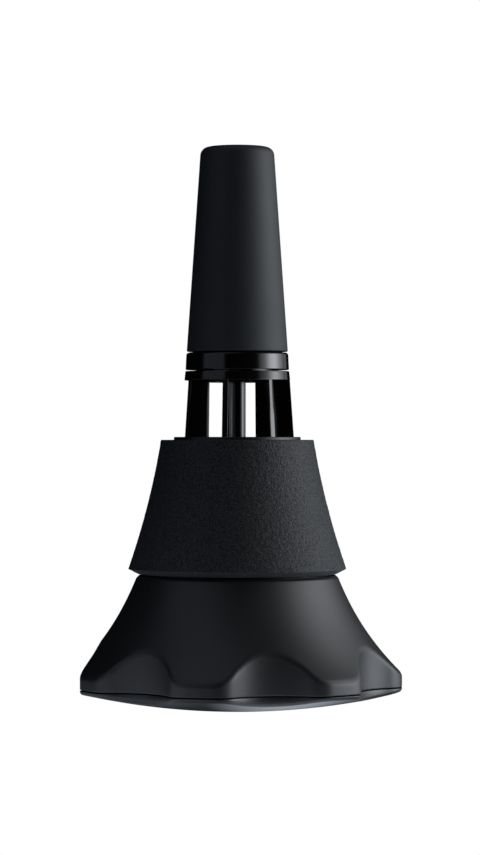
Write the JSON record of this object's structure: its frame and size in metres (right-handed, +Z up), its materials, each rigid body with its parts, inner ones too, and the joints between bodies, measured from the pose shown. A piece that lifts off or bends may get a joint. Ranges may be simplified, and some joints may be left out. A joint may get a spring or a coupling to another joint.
{
  "type": "trumpet practice mute",
  "caption": "Practice mute for a trumpet bell: long soft-sleeved cap, finned breath cage, flared sealing foam and a lobed grip on a domed base.",
  "frame": {"origin": "centre of the flat under the base plate, on the mute's axis", "axes": "+Z up the axis from the base to the cap; +X through a lobe of the grip and a fin of the cage"},
  "size_m": [0.0845, 0.086, 0.147],
  "materials": {
    "satin_base": "satin",
    "satin_grip": "satin",
    "satin_carrier": "satin",
    "gloss_plastic": "gloss",
    "gloss_tube": "gloss",
    "soft_sleeve": "matte",
    "foam": "matte",
    "felt": "matte",
    "screen_cloth": "matte",
    "seal_rubber": "matte"
  },
  "bodies": {
    "grip": {"grip_shell": "satin_grip", "base_plate": "satin_base", "vent_screen": "screen_cloth", "base_felt": "felt"},
    "lower_seal": {"body_seal": "seal_rubber"},
    "upper": {"foam_carrier": "satin_carrier", "carrier_lining": "felt", "sealing_foam": "foam", "cage": "gloss_plastic", "tube_bush": "seal_rubber", "air_tube": "gloss_tube"},
    "upper_seal": {"cap_seal": "seal_rubber"},
    "cap": {"cap_core": "gloss_plastic", "cap_damper": "felt", "cap_sleeve": "soft_sleeve"}
  },
  "joints": [
    {"name": "body_turn", "type": "hinge", "parent": "grip", "child": "lower_seal", "pos_m": [0, 0, 0.0275], "axis": [0, 0, 1], "range_deg": [0, 810]},
    {"name": "body_lift", "type": "slide", "parent": "lower_seal", "child": "upper", "axis": [0, 0, 1], "range_m": [0, 0.00563]},
    {"name": "cap_turn", "type": "hinge", "parent": "upper", "child": "upper_seal", "pos_m": [0, 0, 0.0882], "axis": [0, 0, 1], "range_deg": [0, 810]},
    {"name": "cap_lift", "type": "slide", "parent": "upper_seal", "child": "cap", "axis": [0, 0, 1], "range_m": [0, 0.00563]}
  ],
  "couplings": [
    {"joint": "body_lift", "follows": "body_turn", "m_per_rad": 0.00039789},
    {"joint": "cap_lift", "follows": "cap_turn", "m_per_rad": 0.00039789}
  ]
}
